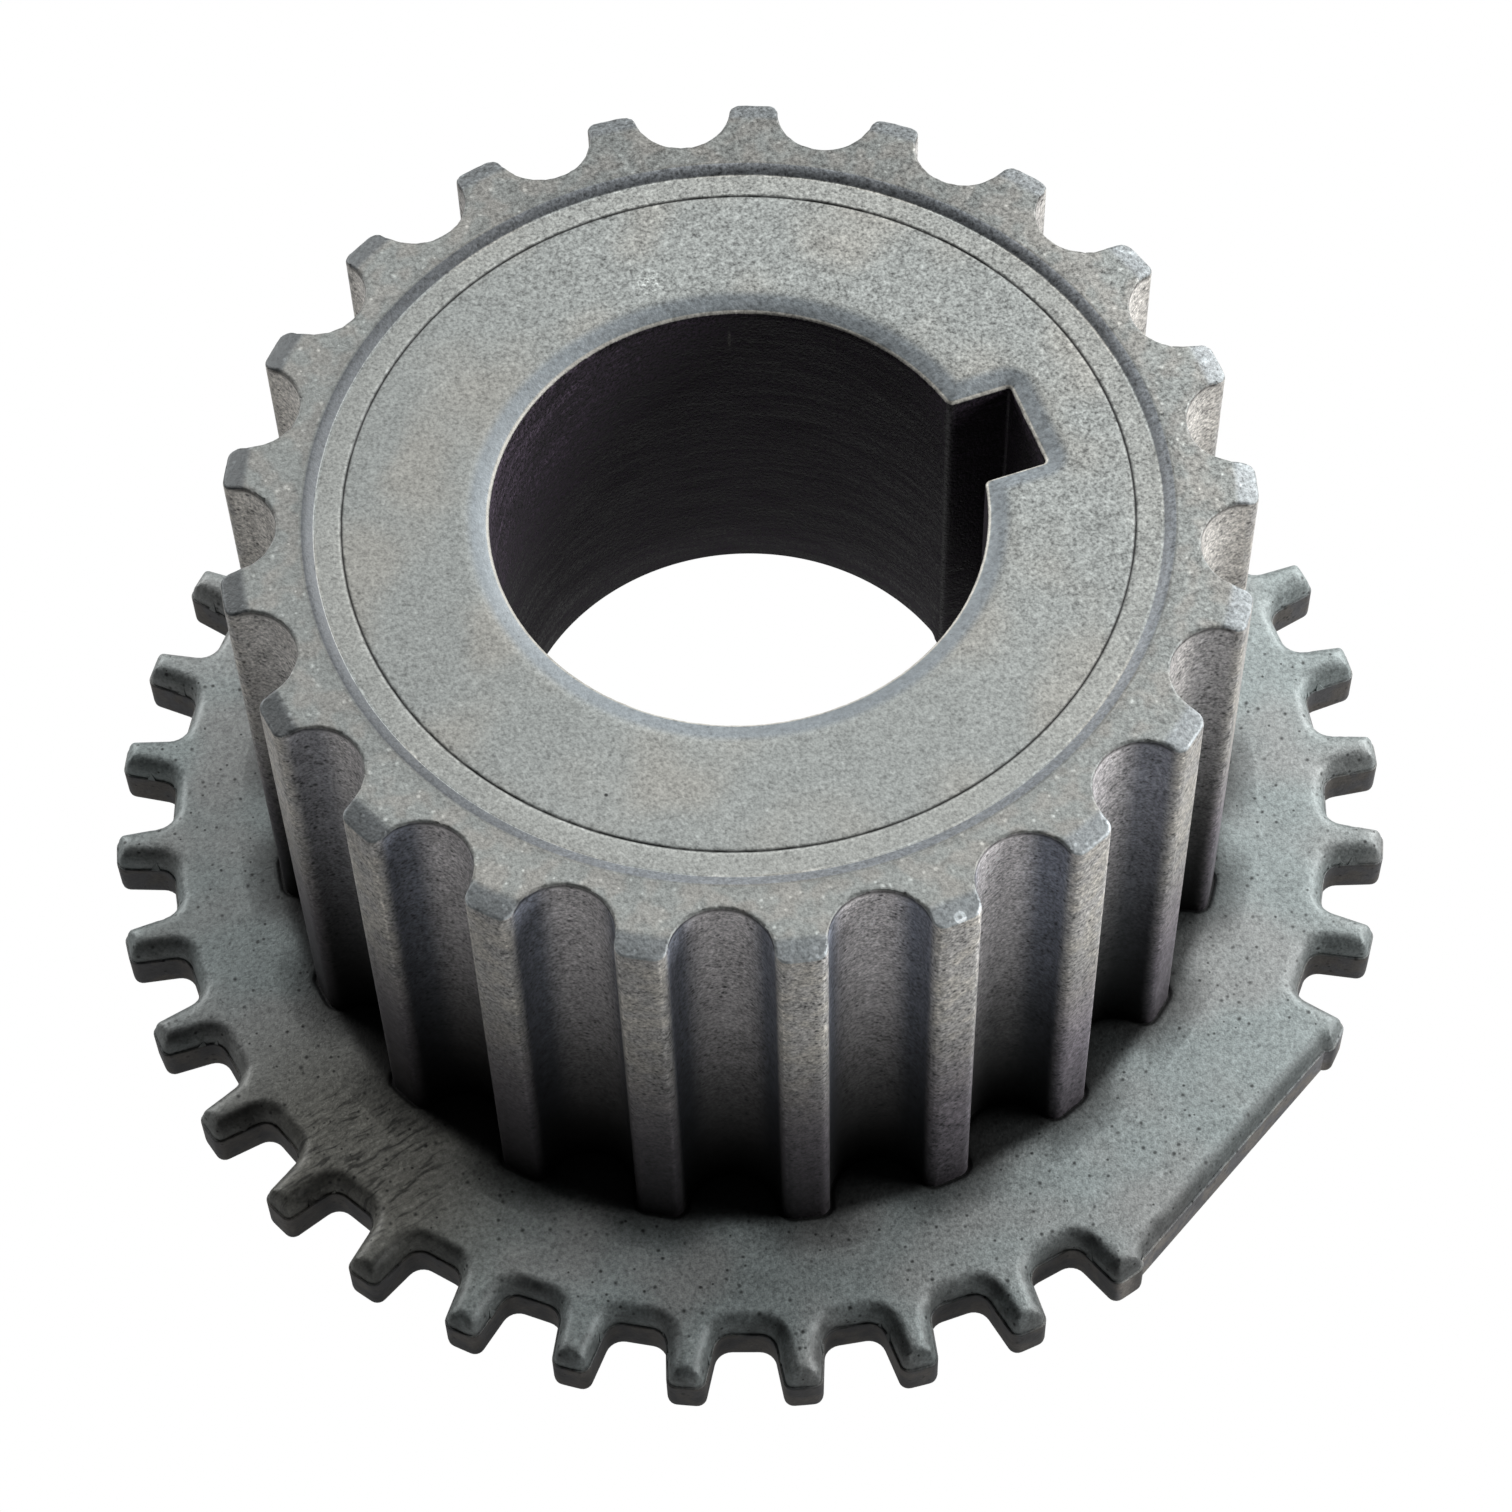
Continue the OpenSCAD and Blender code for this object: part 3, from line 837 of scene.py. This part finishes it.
# scuffed patch on the flange: short wavy strokes lying one way
sd = rad(14.0)
along = g.add(g.mul(px, math.cos(sd)), g.mul(py, math.sin(sd)))
across = g.add(g.mul(px, -math.sin(sd)), g.mul(py, math.cos(sd)))
across = g.add(across, g.mul(n3, 0.55))
sv = g.node("ShaderNodeCombineXYZ")
g.put(sv.inputs[0], g.mul(along, 0.62))
g.put(sv.inputs[1], g.mul(across, 3.4))
strokes = g.noise(sv.outputs[0], 1.0, 1.0, 0.7)
scuff_m = g.mul(g.mul(flange_m, g.mul(g.inv(under), g.inv(rim_wall))), spot(-27.2, -14.6, FLANGE, 3.2, 6.2))
tone = g.mul(tone, g.add(1.0, g.mul(scuff_m, g.sub(g.mul(g.step(strokes, 0.50, 0.72), 0.42), g.mul(g.step(strokes, 0.34, 0.47, 1.0, 0.0), 0.62)))))


# single marks: pores in a groove, a speck and a hair scratch on the hub, a dent on a tooth end, a smudge
marks = g.mx(spot(-8.50, -21.50, 23.7, 0.06, 0.16), spot(-8.62, -21.46, 23.1, 0.05, 0.12))
marks = g.mx(marks, spot(-11.56, -13.55, 31.2, 0.05, 0.14))
marks = g.mx(marks, spot(3.40, 12.20, 31.1, 0.10, 0.24))
marks = g.mx(marks, g.mul(spot(20.9, -27.7, 2.9, 0.2, 1.1), 0.55))
tone = g.mul(tone, g.inv(g.mul(marks, 0.9)))
dent = g.mul(spot(1.96, -25.72, 31.2, 0.26, 0.34), g.inv(spot(1.96, -25.72, 31.2, 0.06, 0.14)))
tone = g.mul(tone, g.add(1.0, g.mul(dent, 0.9)))
rub = g.mul(g.mul(high, spot(0.45, 15.0, 31.2, 0.25, 0.95)), g.step(g2, 0.44, 0.60))
tone = g.mul(tone, g.add(1.0, g.mul(rub, g.add(g.mul(n1, 3.0), 0.20))))
hair_t = g.add(g.mul(g.sub(px, 0.3), 0.69), g.mul(g.sub(py, 15.2), -0.72))
hair_n = g.add(g.mul(g.sub(px, 0.3), 0.72), g.mul(g.sub(py, 15.2), 0.69))
hair = g.mul(g.mul(high, g.step(g.math("ABSOLUTE", g.sub(hair_n, g.mul(n2, 0.5))), 0.04, 0.10, 1.0, 0.0)), g.mul(g.step(hair_t, -0.1, 0.1), g.step(hair_t, 0.9, 1.1, 1.0, 0.0)))
tone = g.mul(tone, g.add(1.0, g.mul(hair, 0.5)))

# a fibre that lies on the bore wall, and painted shade that dims the painted highlight of the bore edge on the left
fib = g.node("ShaderNodeVectorMath", operation="DISTANCE")
g.put(fib.inputs[0], g.stretch(P, (1.0, 1.0, 0.12)))
fib.inputs[1].default_value = (3.70, 11.94, 3.43)
fibre = g.mul(in_bore, g.step(fib.outputs["Value"], 0.05, 0.12, 1.0, 0.0))
base = g.mix(g.mul(fibre, 0.5), base, (0.20, 0.20, 0.18, 1))
tone = g.mul(tone, g.inv(g.mul(g.mul(high, g.step(d_bore, 0.10, 0.20, 1.0, 0.0)), g.mul(g.step(left_side, 0.0, 0.8), 0.40))))
# painted shade: the bevel is made a little darker on the right
tone = g.mul(tone, g.inv(g.mul(g.mul(bevel, g.step(toward(-15.0), 0.3, 0.95)), 0.09)))

# faint turning marks in the bore
turn = g.noise(g.stretch(P, (0.25, 0.25, 2.4)), 1.0, 1.0, 0.6)
tone = g.mul(tone, g.add(1.0, g.mul(g.mul(in_bore, g.sub(turn, 0.5)), 2.4)))

col = g.scale(base, g.math("MAXIMUM", tone, 0.02))
nt.links.new(col, bsdf.inputs["Base Color"])
rough = g.add(0.54, g.mul(n1, 0.25))
rough = g.add(rough, g.mul(in_bore, g.add(g.mul(g.sub(turn, 0.5), 0.5), g.mul(n1, 0.5))))
nt.links.new(g.math("MINIMUM", rough, 0.9), bsdf.inputs["Roughness"])
bsdf.inputs["Metallic"].default_value = 0.35
bsdf.inputs["Specular IOR Level"].default_value = 0.5
h = g.add(g.mul(g1, 0.55), g.mul(g2, 0.25))
nrm = g.bump(h, g.add(g.sub(0.30, g.mul(wall_m, 0.165)), g.mul(in_bore, 0.70)), 0.00010)
nt.links.new(nrm, bsdf.inputs["Normal"])
mesh.materials.append(mat)

# ---------------------------------------------------------------- floor
fm = bpy.data.meshes.new("floor")
fm.from_pydata([(-3, -3, 0), (3, -3, 0), (3, 3, 0), (-3, 3, 0)], [], [(0, 1, 2, 3)])
floor = bpy.data.objects.new("floor", fm)
bpy.context.scene.collection.objects.link(floor)
fmat = bpy.data.materials.new("floor_paper")
fmat.use_nodes = True
fb = fmat.node_tree.nodes["Principled BSDF"]
fb.inputs["Base Color"].default_value = (0.0, 0.0, 0.0, 1)
fb.inputs["Emission Color"].default_value = (1, 1, 1, 1)
fb.inputs["Emission Strength"].default_value = 1.0
fb.inputs["Roughness"].default_value = 0.9
fb.inputs["Specular IOR Level"].default_value = 0.0
fm.materials.append(fmat)
fmat.cycles.emission_sampling = "NONE"
floor.location.z = -0.00002
floor.visible_diffuse = False
floor.visible_glossy = False
floor.visible_shadow = False
# what the floor throws back on the gear
card = bpy.data.objects.new("floor_bounce", fm.copy())
bpy.context.scene.collection.objects.link(card)
cmat = fmat.copy()
cmat.name = "floor_bounce"
cb = cmat.node_tree.nodes["Principled BSDF"]
cb.inputs["Base Color"].default_value = (0.25, 0.25, 0.25, 1)
cb.inputs["Emission Strength"].default_value = 0.28
card.data.materials[0] = cmat
card.location.z = -0.00004
card.visible_camera = False
card.visible_shadow = False

# ---------------------------------------------------------------- camera
cam_data = bpy.data.cameras.new("camera")
cam = bpy.data.objects.new("camera", cam_data)
bpy.context.scene.collection.objects.link(cam)
U = 19.857
AZ, EL, ROLL, FPX = rad(-0.06), rad(58.54), rad(1.85), 4361.0
TX, TY, TZ = -0.045, -0.624, 10.986
KEY_DIR = rad(18.2)
fwd = np.array([0, math.cos(EL), -math.sin(EL)])
right = np.array([1.0, 0, 0])
down = np.cross(fwd, right)
xr = math.cos(ROLL) * right + math.sin(ROLL) * down
yd = -math.sin(ROLL) * right + math.cos(ROLL) * down
Rm = np.array([xr, yd, fwd])
C = -np.array([TX, TY, TZ]) @ Rm
a = -AZ - KEY_DIR
Rz = np.array([[math.cos(a), -math.sin(a), 0], [math.sin(a), math.cos(a), 0], [0, 0, 1]])
C = Rz @ C
xr, yd, fwd = Rz @ xr, Rz @ yd, Rz @ fwd
loc = C * U * 0.001 + np.array([0, 0, FACE * 0.001])
cam.matrix_world = Matrix(((xr[0], -yd[0], -fwd[0], loc[0]), (xr[1], -yd[1], -fwd[1], loc[1]), (xr[2], -yd[2], -fwd[2], loc[2]), (0, 0, 0, 1)))
cam_data.sensor_fit = "HORIZONTAL"
cam_data.sensor_width = 36.0
cam_data.lens = FPX / 1512.0 * 36.0
cam_data.clip_start = 0.01
cam_data.clip_end = 20.0
cam_data.dof.use_dof = False
bpy.context.scene.camera = cam

# ---------------------------------------------------------------- light
world = bpy.data.worlds.new("studio")
bpy.context.scene.world = world
world.use_nodes = True
wt = world.node_tree
bg = wt.nodes["Background"]
wg = G(wt)
wc = wg.node("ShaderNodeTexCoord")
ws = wg.node("ShaderNodeSeparateXYZ")
wt.links.new(wc.outputs["Generated"], ws.inputs[0])
lp = wg.node("ShaderNodeLightPath")
wt.links.new(wg.mx(lp.outputs["Is Camera Ray"], 0.04), bg.inputs[1])
bg.inputs[0].default_value = (1, 1, 1, 1)
world.cycles.sampling_method = "NONE"
bpy.context.scene.view_settings.view_transform = "Standard"


def area(name, az, el, dist, size, power, color=(1, 1, 1)):
    """A soft light, its azimuth counted from the picture's right, anticlockwise seen from above."""
    d = bpy.data.lights.new(name, "AREA")
    d.shape = "DISK"
    d.size = size
    d.energy = power
    d.color = color
    o = bpy.data.objects.new(name, d)
    bpy.context.scene.collection.objects.link(o)
    t = rad(az) - KEY_DIR
    e = rad(el)
    p = Vector((math.cos(t) * math.cos(e), math.sin(t) * math.cos(e), math.sin(e))) * dist
    o.location = p + Vector((0, 0, 0.02))
    o.rotation_euler = (-p).to_track_quat("-Z", "Y").to_euler()
    return o


area("right_low", 0, 20, 0.9, 0.5, 14 * 0.58)
area("right_back_low", 45, 20, 0.9, 0.5, 14 * 0.47)
area("left_back_low", 135, 20, 0.9, 0.5, 14 * 0.372)
area("right_back_high", 45, 50, 0.9, 0.5, 14 * 0.103)
area("back_high", 90, 50, 0.9, 0.5, 14 * 0.083)
